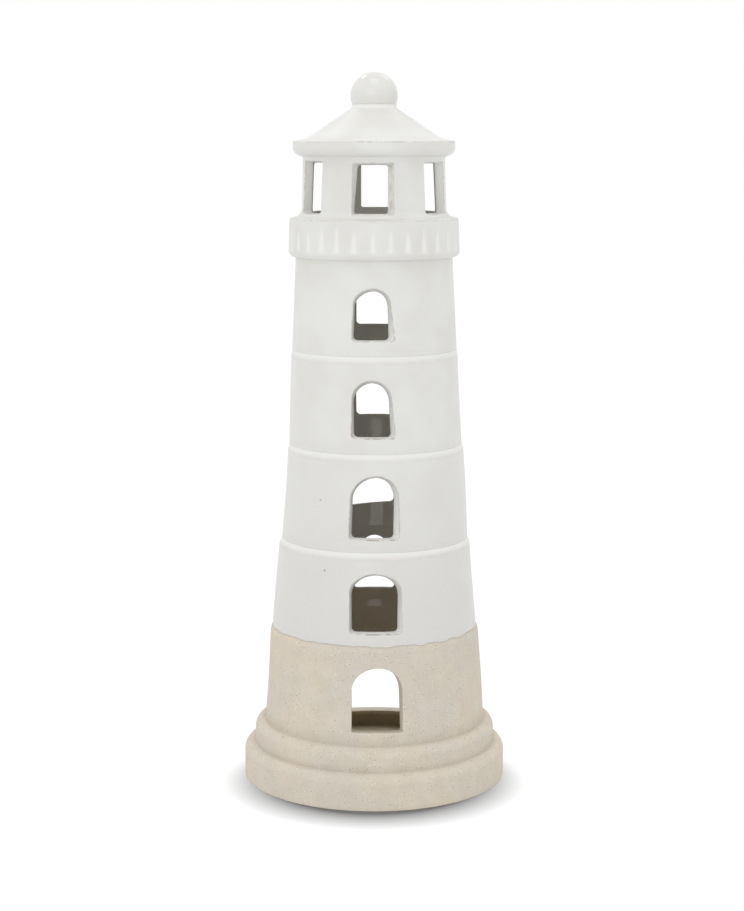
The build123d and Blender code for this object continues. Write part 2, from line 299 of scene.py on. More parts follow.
def windowed_ring(outer, inner, rows, windows, column_step):
    """Points, faces and attributes of a turned ring with windows through its wall.

    The section is the outer profile upwards and the inner one downwards: x = r sin(turn), y = -r cos(turn).
    A window takes a rectangle of cells out of both faces, and its rings of points join the two holes.
    """
    outer, outer_start = on_rows(outer, rows)
    inner, inner_start = on_rows(inner, rows)
    section = np.vstack([outer, inner])
    inner_start += len(outer)
    stops = [side for w in windows for side in (w["turn"] - w["reach"], w["turn"] + w["reach"])]
    stops.append(stops[0] + 360)
    turns = np.radians(divided(np.array(stops), column_step))
    radius, height = section[:, :1], section[:, 1:]
    columns = turns[:-1]
    flat = np.ones_like(columns)
    points = np.stack([radius * np.sin(columns), -radius * np.cos(columns), height * flat], axis=-1)
    ids = np.arange(points.size // 3).reshape(points.shape[:2])
    ring_ids = np.pad(ids, ((0, 1), (0, 1)), mode="wrap")
    cells = grid_faces(ring_ids)
    kept = np.ones(cells.shape[:2], bool)
    points = [points.reshape(-1, 3)]
    lip = [np.zeros(len(points[0]))]
    jamb = [np.zeros(len(points[0]))]
    bare = [np.repeat(np.arange(len(section)) >= len(outer), len(columns)).astype(float)]
    faces = []
    outer_wall = outer[outer_start:outer_start + len(rows)]
    inner_wall = inner[inner_start - len(outer):][:len(rows)][::-1]

    def around(grid):
        return np.concatenate([grid[0, :-1], grid[:-1, -1], grid[-1, :0:-1], grid[:0:-1, 0]])

    for window in windows:
        sides = np.radians([window["turn"] - window["reach"], window["turn"] + window["reach"]])
        left, right = np.abs(turns[:, None] - sides).argmin(axis=0)
        low, high = np.abs(rows[:, None] - [window["low"], window["high"]]).argmin(axis=0)
        turned = np.radians(window["turn"])
        rings, lips, inners, jambs = window_layers(
            window, turns[left:right + 1] - turned, rows[low:high + 1], outer_wall, inner_wall
        )
        x, y, z = np.moveaxis(rings, -1, 0)
        cos, sin = np.cos(turned), np.sin(turned)
        new = np.stack([x * cos - y * sin, x * sin + y * cos, z], axis=-1)[1:-1]
        numbers = np.arange(new.size // 3).reshape(new.shape[:2]) + sum(map(len, points))
        top_row = inner_start + len(rows) - 1
        outer_ids = ring_ids[outer_start + low:outer_start + high + 1, left:right + 1]
        inner_ids = ring_ids[top_row - high:top_row - low + 1, left:right + 1][::-1]
        numbers = np.vstack([around(outer_ids), numbers, around(inner_ids)])
        kept[outer_start + low:outer_start + high, left:right] = False
        kept[top_row - high:top_row - low, left:right] = False
        faces.append(grid_faces(np.pad(numbers, ((0, 0), (0, 1)), mode="wrap")).reshape(-1, 4))
        points.append(new.reshape(-1, 3))
        lip.append(lips[1:-1].ravel())
        bare.append(inners[1:-1].ravel())
        jamb.append(jambs[1:-1].ravel())
    faces.append(cells[kept])
    return np.vstack(points), faces, np.concatenate(lip), np.concatenate(bare), np.concatenate(jamb)


def linear(code):
    """Linear RGBA of an sRGB hex colour: c / 12.92 up to 0.04045, else ((c + 0.055) / 1.055) ** 2.4."""
    shade = np.array([int(code[k:k + 2], 16) for k in (1, 3, 5)]) / 255
    low, high = shade / 12.92, ((shade + 0.055) / 1.055) ** 2.4
    return (*np.where(shade <= 0.04045, low, high).tolist(), 1)


def shader_node(material, kind, links=None, **settings):
    """Adds a node of a kind with its settings; links gives each socket a value or another node's output."""
    made = material.node_tree.nodes.new(kind)
    for key, value in settings.items():
        setattr(made, key, value)
    for key, value in (links or {}).items():
        if isinstance(value, bpy.types.NodeSocket):
            material.node_tree.links.new(value, made.inputs[key])
        else:
            made.inputs[key].default_value = value
    return made


def per_mm(size):
    """Scale of a pattern on Object coordinates, in metres, whose features are size millimetres wide."""
    return 1 / (size * MM)


# Bare buff stoneware: a grogged clay fired without glaze, so it is dull and sandy to the touch.
# The eye sees a pale buff with warm and cool clouds, light and dark grog specks, and a white glaze line at
# the top, with a painted shadow under it. Painted shade darkens the corners above the plinth's rings and
# the inside towards its floor. Inside the head, some of the tower's glaze has run down over the clay.
bare_stoneware = bpy.data.materials.new("bare_buff_stoneware")
bare_stoneware.use_nodes = True
cloud_size = 26
patch_size = 7
grit_size = 0.6
speck_cell = 1.15
light_speck_cell = 1.3
speck_share = 0.45
light_speck_share = 0.42
speck_width = 0.24
speck_core = 0.6
speck_pit = 0.5
glaze_line = 75.2
glaze_waver = 0.6
inner_glaze_foot = 55
inner_glaze_fade = 8
inner_shade_fade = 40
dust_share = 0.2
dust_reach = 0.3
dust_drop = 0.2
clay_roughness = 0.88
glaze_line_roughness = 0.2
polished_roughness = 0.06
clay_relief = 0.12
clay_bump = 0.5
polished_bump = 0.03
clay_ior = 1.5

body = bare_stoneware.node_tree.nodes["Principled BSDF"]
place = shader_node(bare_stoneware, "ShaderNodeTexCoord").outputs["Object"]
height = shader_node(bare_stoneware, "ShaderNodeSeparateXYZ", {"Vector": place}).outputs["Z"]
clouds, patches, grit = (
    shader_node(
        bare_stoneware, "ShaderNodeTexNoise", {"Vector": place, "Scale": per_mm(size), "Detail": detail}
    ).outputs["Fac"]
    for size, detail in ((cloud_size, 2), (patch_size, 3), (grit_size, 2))
)
dust, inside, polish = (
    shader_node(bare_stoneware, "ShaderNodeAttribute", attribute_name=key).outputs["Fac"]
    for key in ("dust", "bare", "polish")
)
# Painted shade at the plinth's ring corners, mixed in below toward a darker buff.
dusty = shader_node(
    bare_stoneware, "ShaderNodeMath", {0: dust, 1: dust_share}, operation="MULTIPLY"
).outputs["Value"]
specks = []
for cell, share in ((speck_cell, speck_share), (light_speck_cell, light_speck_share)):
    spots = shader_node(
        bare_stoneware, "ShaderNodeTexVoronoi", {"Vector": place, "Scale": per_mm(cell)}
    ).outputs
    speck = shader_node(
        bare_stoneware, "ShaderNodeMapRange",
        {"Value": spots["Distance"], "From Min": speck_width, "From Max": speck_core * speck_width},
    ).outputs["Result"]
    chance = shader_node(bare_stoneware, "ShaderNodeSeparateColor", {"Color": spots["Color"]}).outputs
    chosen = shader_node(
        bare_stoneware, "ShaderNodeMath", {0: chance["Red"], 1: share}, operation="LESS_THAN"
    ).outputs["Value"]
    for factor in (chance["Green"], chosen):
        speck = shader_node(
            bare_stoneware, "ShaderNodeMath", {0: speck, 1: factor}, operation="MULTIPLY"
        ).outputs["Value"]
    specks.append(speck)
dark_specks, light_specks = specks
mean_line = (glaze_line + 2 * glaze_waver) * MM
waver = shader_node(
    bare_stoneware, "ShaderNodeMath", {0: patches, 1: 4 * glaze_waver * MM, 2: -mean_line},
    operation="MULTIPLY_ADD",
).outputs["Value"]
above = shader_node(
    bare_stoneware, "ShaderNodeMath", {0: height, 1: waver}, operation="ADD"
).outputs["Value"]
# The fourth map below is a painted shadow: a darker band just under the glaze line, as if cast by its edge.
warm, mottled, grain, glaze_edge_shadow, glazed = (
    shader_node(
        bare_stoneware, "ShaderNodeMapRange",
        {"Value": value, "From Min": start, "From Max": end, "To Max": most},
    ).outputs["Result"]
    for value, start, end, most in (
        (clouds, 0.38, 0.62, 1),
        (patches, 0.35, 0.65, 0.5),
        (grit, 0.4, 0.75, 0.3),
        (above, -0.9 * MM, -0.1 * MM, 0.4),
        (above, -0.05 * MM, 0.1 * MM, 1),
    )
)
tone = linear("#D6D1C6")
# The multiply by the inside share is painted shade, deepening towards the floor inside the base.
for share, colour, blend in (
    (warm, "#DED4C4", "MIX"),
    (mottled, "#D0C7B5", "MIX"),
    (grain, "#C0B5A2", "MIX"),
    (dark_specks, "#857A6C", "MIX"),
    (light_specks, "#F6F1E6", "MIX"),
    (glaze_edge_shadow, "#9C9283", "MIX"),
    (glazed, "#E6E5E1", "MIX"),
    (dusty, "#9A9083", "MIX"),
    (inside, "#FBF5E6", "MULTIPLY"),
    (polish, "#D2C8B8", "MIX"),
):
    tone = shader_node(
        bare_stoneware, "ShaderNodeMix", {0: share, 6: tone, 7: linear(colour)},
        data_type="RGBA", blend_type=blend,
    ).outputs[2]
dull = shader_node(
    bare_stoneware, "ShaderNodeMapRange",
    {"Value": glazed, "To Min": clay_roughness, "To Max": glaze_line_roughness},
).outputs["Result"]
dull, grip = (
    shader_node(
        bare_stoneware, "ShaderNodeMapRange", {"Value": polish, "To Min": clay, "To Max": polished}
    ).outputs["Result"]
    for clay, polished in ((dull, polished_roughness), (clay_bump, polished_bump))
)
relief = shader_node(
    bare_stoneware, "ShaderNodeMath", {0: dark_specks, 1: -speck_pit, 2: grit}, operation="MULTIPLY_ADD"
).outputs["Value"]
rough = shader_node(
    bare_stoneware, "ShaderNodeBump", {"Height": relief, "Strength": grip, "Distance": clay_relief * MM}
).outputs["Normal"]
for socket, value in {"Base Color": tone, "Roughness": dull, "Normal": rough}.items():
    bare_stoneware.node_tree.links.new(value, body.inputs[socket])
body.inputs["IOR"].default_value = clay_ior

base_outer = rounded_line(
    (rebate_radius, 0),
    (foot_radius, 0, 0.4),
    (foot_radius, lower_ring_top - lower_shelf_fall, 4.6),
    (upper_ring_radius, lower_ring_top, 0.35),
    (upper_ring_radius, upper_ring_top - upper_shelf_fall, 4.5),
    (base_wall_radius, upper_ring_top, 0.35),
    (base_head_radius, base_top - shoulder_rise, 1.5),
    (storey_1_foot_radius, base_top),
    (storey_1_foot_radius - wall / 2, base_top),
)
base_inner = rounded_line(
    (storey_1_foot_radius - wall / 2, base_top - seam_lap),
    (storey_1_foot_radius - wall, base_top - seam_lap),
    (base_wall_radius - wall, upper_ring_top - wall + inner_step_rise, inner_step_round),
    (upper_ring_radius - wall, upper_ring_top - wall - inner_step_drop, inner_step_round),
    (upper_ring_radius - wall, lower_ring_top - wall + inner_step_rise, inner_step_round),
    (foot_radius - wall, lower_ring_top - wall - inner_step_drop, inner_step_round),
    (foot_radius - wall, rebate_top),
    (rebate_radius, rebate_top),
)
base_stops = np.array([base_rows_low, door_low, arch_low, door_high, arch_high, base_rows_high])
base_rows = divided(base_stops, base_row_step)
ring_rows = base_outer[(base_outer[:, 1] > base_rows[0]) & (base_outer[:, 1] < upper_ring_top + 1), 1]
base_rows = np.unique(np.append(base_rows, ring_rows))
base_rows = base_rows[np.append(True, np.diff(base_rows) > least_row_step)]
base_window = {
    "turn": 0, "reach": 17.0, "low": arch_low, "high": arch_high, "lip": 0.5,
    "outer": ((-11.4, 13.5), (-11.5, 13.1), 34.0, 65.5, (12, 11.7), 0.9, 0.8, 0),
    "inner": ((-10.8, 11.8), (-11.0, 11.1), 34.2, 65.1, (12, 11.7), 0.9, 0.8, 0),
}
base_door = {
    "turn": 180, "reach": 30.0, "low": door_low, "high": door_high, "lip": 0.9,
    "outer": ((-24.9, 24.9), (-24.9, 24.9), 12.9, 54.9, (25, 25), 2.5, 0, 0),
    "inner": ((-24, 24), (-24, 24), 14.5, 54.0, (24, 24), 2.0, 0, 0),
}
points, faces, _, bare, _ = windowed_ring(
    base_outer, base_inner, base_rows, [base_window, base_door], base_column_step
)
radius, height = np.hypot(points[:, 0], points[:, 1]), points[:, 2]
dust = np.zeros(len(points))
# Painted shade: a darker band round the concave corner where each ring's shelf meets the wall above it.
for ring_top, next_radius, spread in (
    (lower_ring_top, upper_ring_radius, 2.5), (upper_ring_top, base_wall_radius, 4.0)
):
    beside = (radius < next_radius + dust_reach) & (height > ring_top - dust_drop) & (bare == 0)
    dust = np.maximum(dust, beside * np.exp(-((height - ring_top) / spread) ** 2))
polish = bare * np.clip((height - inner_glaze_foot) / inner_glaze_fade, 0, 1)
# Painted shade: the inside is darkened more the further it lies below the head.
bare = bare * np.clip((base_top - height) / inner_shade_fade, 0, 1)
cast_piece(
    "stoneware_base", "base_storey", points, faces, "bare_stoneware", bare_stoneware,
    bare=bare, dust=dust, polish=polish,
)

# Floor: a disc of the same clay that closes the base from below, so that a tealight stands level.
# Its flange lies in the rebate of the foot ring, and a little slip holds it there.
floor_low, floor_high = (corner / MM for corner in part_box("floor_disc"))
floor_step = 1.5
seam_gap = 0.2


def turned_piece(profile, turns):
    """Points and faces of a profile (r, z) that starts and ends on the axis, turned about it.

    x = r sin(turn) and y = -r cos(turn). Each end is a single point, joined to the next ring by triangles.
    """
    rings = profile[1:-1]
    radius, height = rings[:, :1], rings[:, 1:]
    flat = np.ones_like(turns)
    points = np.stack([radius * np.sin(turns), -radius * np.cos(turns), height * flat], axis=-1)
    ids = np.pad(np.arange(points.size // 3).reshape(points.shape[:2]), ((0, 0), (0, 1)), mode="wrap")
    first, last = points.size // 3, points.size // 3 + 1
    ends = [[0, 0, profile[0, 1]], [0, 0, profile[-1, 1]]]
    start_cap = np.stack([np.full(len(turns), first), ids[0, 1:], ids[0, :-1]], axis=-1)
    end_cap = np.stack([np.full(len(turns), last), ids[-1, :-1], ids[-1, 1:]], axis=-1)
    return np.vstack([points.reshape(-1, 3), ends]), [grid_faces(ids).reshape(-1, 4), start_cap, end_cap]


lip_radius = foot_radius - wall - seam_gap
floor_profile = rounded_line(
    (0, floor_low.z),
    (floor_high.x, floor_low.z, 0.5),
    (floor_high.x, rebate_top),
    (lip_radius, rebate_top),
    (lip_radius, floor_high.z, 0.6),
    (0, floor_high.z),
    step=3.0,
)
points, faces = turned_piece(floor_profile, np.radians(np.arange(0, 360, floor_step)))
# The floor disc takes the inside's full painted shade.
bare = np.ones(len(points))
cast_piece("stoneware_floor", "floor_disc", points, faces, "bare_stoneware", bare_stoneware, bare=bare)

# Glazed storeys: four tapering rings of the same clay under a white glaze, each seated in the one below.
# Each has an arched window cut by hand at the front and one at the back, and all but the last a ledge.

# White stoneware glaze: satin outside, glossy on the ball and inside the storeys, whiter where it pools, and
# sandy brown where it thins over an edge. Painted light whitens the window jambs and the ledge shoulders,
# painted shade darkens each storey's foot, and the outside is darker towards the bottom of the tower.
white_glaze = bpy.data.materials.new("white_stoneware_glaze")
white_glaze.use_nodes = True
mottle_size = 24
thinning_size = 3.0
iron_cell = 13.0
iron_share = 0.35
full_tone_height = 190
darkest_low_height = 85
ripple_size = 5.0
ripple_depth = 0.15
ripple_bump = 0.35
clay_shows_start = 104
clay_shows_end = 78
satin_roughness = 0.42
glaze_ior = 1.52

glaze = white_glaze.node_tree.nodes["Principled BSDF"]
place = shader_node(white_glaze, "ShaderNodeTexCoord").outputs["Object"]
height = shader_node(white_glaze, "ShaderNodeSeparateXYZ", {"Vector": place}).outputs["Z"]
lip_share, bare_share, pool_and_light_share, polish = (
    shader_node(white_glaze, "ShaderNodeAttribute", attribute_name=key).outputs["Fac"]
    for key in ("lip", "bare", "pool", "polish")
)
mottle, thinning, ripple = (
    shader_node(
        white_glaze, "ShaderNodeTexNoise", {"Vector": place, "Scale": per_mm(size), "Detail": detail}
    ).outputs["Fac"]
    for size, detail in ((mottle_size, 3), (thinning_size, 4), (ripple_size, 1))
)
irons = shader_node(
    white_glaze, "ShaderNodeTexVoronoi", {"Vector": place, "Scale": per_mm(iron_cell)}
).outputs
chance = shader_node(white_glaze, "ShaderNodeSeparateColor", {"Color": irons["Color"]}).outputs["Red"]
chosen = shader_node(
    white_glaze, "ShaderNodeMath", {0: chance, 1: iron_share}, operation="LESS_THAN"
).outputs["Value"]
# The second map below makes the outside glaze darker towards the bottom of the tower.
depth, darker_low, clay_shows, broken, patchy, near = (
    shader_node(
        white_glaze, "ShaderNodeMapRange",
        {"Value": value, "From Min": start, "From Max": end, "To Min": least, "To Max": most},
    ).outputs["Result"]
    for value, start, end, least, most in (
        (mottle, 0.35, 0.65, 0, 1),
        (height, full_tone_height * MM, darkest_low_height * MM, 0, 0.9),
        (height, clay_shows_start * MM, clay_shows_end * MM, 0, 1),
        (thinning, 0.36, 0.6, 0, 0.9),
        (mottle, 0.42, 0.56, 0.35, 1),
        (irons["Distance"], 0.05, 0.03, 0, 0.55),
    )
)
broken = shader_node(
    white_glaze, "ShaderNodeMath", {0: broken, 1: patchy}, operation="MULTIPLY"
).outputs["Value"]
# The worn share marks the glaze's brown breaks at edges, and also painted shade at each storey's foot.
worn, iron = (
    shader_node(white_glaze, "ShaderNodeMath", {0: share, 1: factor}, operation="MULTIPLY").outputs["Value"]
    for share, factor in ((lip_share, broken), (near, chosen))
)
tone = linear("#E2E1DC")
# The whiter pool colour below marks glaze pooled in the flutes and at the neck, and is also painted light on
# the window jambs and ledge shoulders.
for share, colour in (
    (depth, "#E8E8E5"),
    (darker_low, "#DCDBD7"),
    (pool_and_light_share, "#F3F3F0"),
    (worn, "#A39481"),
    (iron, "#7D7365"),
):
    tone = shader_node(
        white_glaze, "ShaderNodeMix", {0: share, 6: tone, 7: linear(colour)}, data_type="RGBA"
    ).outputs[2]
inside = linear("#D6D4CC")
for share, colour in ((mottle, "#DEDCD4"), (clay_shows, "#D2C8B8")):
    inside = shader_node(
        white_glaze, "ShaderNodeMix", {0: share, 6: inside, 7: linear(colour)}, data_type="RGBA"
    ).outputs[2]
tone = shader_node(
    white_glaze, "ShaderNodeMix", {0: bare_share, 6: tone, 7: inside}, data_type="RGBA"
).outputs[2]
gloss = shader_node(
    white_glaze, "ShaderNodeMapRange",
    {"Value": polish, "To Min": satin_roughness, "To Max": polished_roughness},
).outputs["Result"]
waves = shader_node(
    white_glaze, "ShaderNodeBump",
    {"Height": ripple, "Strength": ripple_bump, "Distance": ripple_depth * MM},
).outputs["Normal"]
for socket, value in {"Base Color": tone, "Roughness": gloss, "Normal": waves}.items():
    white_glaze.node_tree.links.new(value, glaze.inputs[socket])
glaze.inputs["IOR"].default_value = glaze_ior

slip_film = 0.03
storey_column_step = 1.5
storey_row_step = 1.1
window_corner = 2.0
window_lip = 0.7
window_margin = 2.2
tower_head_radius = 37.3
storey_radii = (storey_1_foot_radius, 45.0, 41.5, 39.3, tower_head_radius)
foot_edge = 0.15
ledge_edge = 3.0
plain_edge = 0.2
foot_row = 0.8
head_row = 0.4
foot_shade = 0.08
foot_shade_height = 1.8
foot_shade_spread = 1.2
ledge_thinning = 0.12
ledge_thin_spread = 0.8
ledge_pool_and_light = 0.6
ledge_light_rise = 0.6
whole_width = 99


def window(turn, outside, inside, lip=window_lip, corner=window_corner):
    """A window's turn, lip and two outlines, for opening_outline.

    Each outline is written as the sides at the sill, the sides at the springing, the sill, the top and the
    rise of the arch, which spans the whole width. After the rise it may have the crown's shift and the
    sill's tip.
    """
    outlines = []
    for sill_left, sill_right, left, right, sill, top, rise, *more in (outside, inside):
        crown, tip = more or (0, 0)
        head = (whole_width, rise)
        outlines.append(((sill_left, sill_right), (left, right), sill, top, head, corner, crown, tip))
    return {"turn": turn, "outer": outlines[0], "inner": outlines[1], "lip": lip}


storeys = (
    ("storey_1", 1.2, (
        window(
            0, (-12.2, 13.7, -12.2, 13.2, 80.3, 109.3, 9.5),
            (-10.5, 10.7, -10.7, 10.9, 81.0, 107.2, 9.3, 0.4, 0),
        ),
        window(
            180, (-11.6, 11.6, -10.9, 10.9, 81.2, 111.5, 14),
            (-10.2, 10.2, -9.4, 9.4, 82.5, 110.2, 14),
        ),
    )),
    ("storey_2", 0.8, (
        window(
            0, (-13.1, 11.8, -12.5, 11.2, 124.1, 154.8, 11.8, 0.8, 0),
            (-11.2, 8.3, -10.9, 8.3, 124.8, 152.8, 10.5, 1.3, 0),
        ),
        window(
            180, (-10.3, 14.1, -10.3, 14.1, 125.9, 154.6, 11.5, 0, -0.9),
            (-9.1, 12.9, -9.1, 12.9, 127.3, 153.2, 10.6, 0, -0.9),
        ),
    )),
    ("storey_3", 0.5, (
        window(
            0, (-11.6, 10.2, -11.1, 8.6, 171.2, 199.1, 9.6, -0.1, 0),
            (-9.8, 7.3, -9.7, 6.7, 171.9, 196.9, 9.1, 0.5, 0),
        ),
        window(
            180, (-10.8, 10.4, -10.8, 10.4, 171.6, 198.8, 9.5),
            (-9.6, 9.1, -9.6, 9.1, 172.9, 197.4, 9.0),
        ),
    )),
    ("storey_4", 0.0, (
        window(
            0, (-11.2, 10.2, -10.3, 8.0, 216.1, 241.3, 8.2, 0.7, 0),
            (-9.6, 6.6, -9.1, 6.2, 216.8, 239.3, 7.8, 1.0, 0),
        ),
        window(
            180, (-10.1, 9.9, -10.1, 9.9, 217.2, 241.3, 8.0),
            (-8.9, 8.7, -8.9, 8.7, 218.3, 240.0, 7.5),
        ),
    )),
)
level = base_top
for (node, ledge, openings), radius, next_radius in zip(storeys, storey_radii, storey_radii[1:]):
    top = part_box(node)[1].z / MM
    head_radius = next_radius + ledge
    low = min(opening["outer"][2] for opening in openings) - window_margin
    high = max(opening["outer"][3] for opening in openings) + window_margin
    rows = divided(np.array([level + foot_row, low, high, top - seam_lap - head_row]), storey_row_step)
    spigot = radius - wall / 2 - seam_gap
    outer = rounded_line(
        (spigot, level),
        (radius, level, foot_edge),
        (head_radius, top - shoulder_rise, ledge_edge if ledge else plain_edge),
        (next_radius, top),
        (next_radius - wall / 2, top),
    )
    inner = rounded_line(
        (next_radius - wall / 2, top - seam_lap),
        (next_radius - wall, top - seam_lap),
        (radius - wall, level),
        (radius - wall, level - seam_lap + slip_film),
        (spigot, level - seam_lap + slip_film),
    )
    widest = max(abs(side) for opening in openings for side in opening["outer"][0])
    reach = np.degrees(np.arcsin((widest + window_margin) / head_radius))
    for opening in openings:
        opening.update(reach=reach, low=low, high=high)
    points, faces, lip, bare, jamb = windowed_ring(outer, inner, rows, openings, storey_column_step)
    height = points[:, 2]
    outside = bare == 0
    on_shoulder = height - top + shoulder_rise
    # Painted shade: a soft darker band just above each storey's foot, in the crease over the ledge below. The
    # band at the ledge's own edge is the glaze thinning there. Both go into lip.
    thin_and_shade = foot_shade * np.exp(-((height - level - foot_shade_height) / foot_shade_spread) ** 2)
    if ledge:
        thin_and_shade += ledge_thinning * np.exp(-(on_shoulder / ledge_thin_spread) ** 2)
    lip = np.maximum(lip, thin_and_shade * outside)
    # Painted light, as well as glaze pooled there: the upper part of each ledge's shoulder, which faces up to
    # the light, is made whiter.
    pooled = np.clip(on_shoulder / (ledge_light_rise * shoulder_rise), 0, 1) * outside * bool(ledge)
    pool = np.maximum(ledge_pool_and_light * pooled, jamb)
    cast_piece(
        f"glazed_{node}", node, points, faces, "white_glaze", white_glaze,
        lip=lip, bare=bare, pool=pool, polish=bare,
    )
    level = top

# Gallery: an overhanging band that stands for the walk round the lamp, with flutes for its railing.
# The flutes were pressed by hand, so each has its own width and depth, and white glaze pools in them.
gallery_foot_radius = 40.7
gallery_head_radius = 40.0
gallery_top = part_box("gallery")[1].z / MM
deck_fall = 0.9
lantern_foot_radius = 34.2
lantern_wall = 4.2
lantern_flare = 1.7
flute_count = 30
flute_columns = 16
flute_depth = 0.45
flute_turn = 1.3
deck_rebate = 0.4
rebate_draft = 0.2
deck_edge_wear = 0.5
deck_edge_spread = 0.5
band_margin = 0.3
flute_foot_margin = 2.8
flute_head_margin = 3.5
flute_low = level + flute_foot_margin
flute_high = gallery_top - deck_fall - flute_head_margin
spigot = tower_head_radius - wall / 2 - seam_gap
lantern_socket = lantern_foot_radius - lantern_wall / 2
gallery_section = rounded_line(
    (spigot, level),
    (gallery_foot_radius, level, 3.0),
    (gallery_head_radius, gallery_top - deck_fall, 0.9),
    (lantern_foot_radius + lantern_flare, gallery_top),
    (lantern_foot_radius + lantern_flare - rebate_draft, gallery_top - deck_rebate),
    (lantern_socket, gallery_top - deck_rebate),
    (lantern_socket, gallery_top - seam_lap),
    (lantern_foot_radius - lantern_wall, gallery_top - seam_lap),
    (tower_head_radius - wall, level),
    (tower_head_radius - wall, level - seam_lap + slip_film),
    (spigot, level - seam_lap + slip_film),
    step=0.5,
)


def flutes(turns, height):
    """Depth share of the flutes at angles and heights: soft grooves, narrow above and wide at the foot.

    Across a flute the depth falls as exp(-(distance / half width) ** 2), and the half width grows
    downwards. It fades in over 4 mm at the head and runs out over 3 mm at the foot.
    """
    head_fade, foot_fade = 4, 3
    head_half, foot_more = 0.8, 1.1
    seeded = np.random.default_rng(30)
    shift = seeded.normal(0, 0.2, flute_count)
    breadth = seeded.uniform(0.8, 1.25, flute_count)
    strength = seeded.uniform(0.65, 1.0, flute_count)
    drop = seeded.uniform(-1.2, 1.2, flute_count)
    pitch = 360 / flute_count
    degrees = np.degrees(turns) + flute_turn
    number = np.round(degrees / pitch).astype(int) % flute_count
    away = (degrees + pitch / 2) % pitch - pitch / 2 - shift[number]
    down = np.clip((flute_high - height) / (flute_high - flute_low), 0, 1)
    half = (head_half + foot_more * down ** 2) * breadth[number]
    across = np.exp(-(away * np.radians(gallery_foot_radius) / half) ** 2)
    head = np.clip((flute_high + drop[number] - height) / head_fade, 0, 1)
    foot = np.clip((height - flute_low) / foot_fade, 0, 1)
    return across * np.sin(head * np.pi / 2) * np.sin(foot * np.pi / 2) * strength[number]


turns = np.radians(np.arange(flute_count * flute_columns) * 360 / (flute_count * flute_columns))
radius = np.repeat(gallery_section[:, :1], len(turns), axis=1)
height = np.repeat(gallery_section[:, 1:], len(turns), axis=1)
outside = radius > gallery_head_radius - band_margin
pool = np.where(outside, flutes(np.broadcast_to(turns, radius.shape), height), 0)
radius = radius - flute_depth * pool
points = np.stack([radius * np.sin(turns), -radius * np.cos(turns), height], axis=-1)
ids = np.pad(np.arange(points.size // 3).reshape(points.shape[:2]), ((0, 1), (0, 1)), mode="wrap")
deck_corner = np.array([gallery_head_radius, gallery_top - deck_fall])
from_corner = np.linalg.norm(gallery_section - deck_corner, axis=1)
lip = np.repeat(deck_edge_wear * np.exp(-(from_corner / deck_edge_spread) ** 2), len(turns))
bare = np.repeat(gallery_section[:, 0] < spigot, len(turns)).astype(float)
cast_piece(
    "glazed_gallery", "gallery", points.reshape(-1, 3), [grid_faces(ids).reshape(-1, 4)],
    "white_glaze", white_glaze, lip=lip, bare=bare, pool=pool.ravel(),
)

# Lantern room: a thin drum with a flared foot and six square-headed windows cut through it.
# Its foot drops into the gallery, and the rim at its head stands up into the roof.
lantern_head_radius = 33.5
lantern_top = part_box("roof")[0].z / MM
lantern_rim_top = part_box("lantern_room")[1].z / MM
lantern_level = gallery_top
lantern_window_reach = 21.5
lantern_row_step = 0.9
lantern_foot_margin = 0.8
lantern_head_margin = 1.3
lantern_foot_row = 0.45
lantern_head_row = 0.6
lantern_corner = 1.5
rear_sill_corner = 0.8
lantern_lip = 0.5
front_lip = 0.9
front_wear = 0.85
lantern_jamb_light = 0.6
flare_rise = 2.6
cove = 0.9
roof_socket = lantern_head_radius - lantern_wall / 2
lantern_outer = rounded_line(
    (lantern_socket - seam_gap, lantern_level),
    (lantern_foot_radius + lantern_flare, lantern_level),
    (lantern_foot_radius, lantern_level + flare_rise, 2.8),
    (lantern_head_radius, lantern_top - cove, 0.6),
    (lantern_head_radius + cove, lantern_top),
    (roof_socket - seam_gap, lantern_top),
    (roof_socket - seam_gap, lantern_rim_top),
)
lantern_inner = rounded_line(
    (lantern_head_radius - lantern_wall, lantern_rim_top),
    (lantern_head_radius - lantern_wall, lantern_top),
    (lantern_foot_radius - lantern_wall, lantern_level),
    (lantern_foot_radius - lantern_wall, lantern_level - seam_lap + slip_film),
    (lantern_socket - seam_gap, lantern_level - seam_lap + slip_film),
)
low, high = lantern_level + lantern_foot_margin, lantern_top - lantern_head_margin
lantern_stops = np.array([lantern_level + lantern_foot_row, low, high, lantern_top - lantern_head_row])
lantern_rows = divided(lantern_stops, lantern_row_step)

# Each window's outer and inner outline, from the front one round by the right: the sides at the sill, the
# sides at the head, the sill and the head.
lantern_outlines = (
    (((-11.2, 9.7), (-10.7, 9.4), 274.0, 298.5), ((-9.4, 6.25), (-7.7, 6.25), 274.5, 297.0)),
    (((-9.8, 9.5), (-10.3, 8.4), 274.0, 298.5), ((-8.5, 8.0), (-8.7, 6.3), 274.5, 297.5)),
    (((-9.5, 9.5), (-9.2, 9.2), 274.0, 298.5), ((-8.0, 8.3), (-6.3, 7.5), 274.5, 297.5)),
    (((-9.6, 8.3), (-9.6, 8.3), 275.0, 298.5), ((-8.6, 6.3), (-8.6, 6.3), 275.9, 297.5)),
    (((-9.5, 9.5), (-9.2, 9.2), 274.0, 298.5), ((-8.3, 8.9), (-7.5, 7.5), 274.5, 297.5)),
    (((-9.9, 8.2), (-9.2, 8.7), 274.0, 299.1), ((-8.9, 7.2), (-7.5, 7.4), 274.5, 298.1)),
)
lantern_openings = []
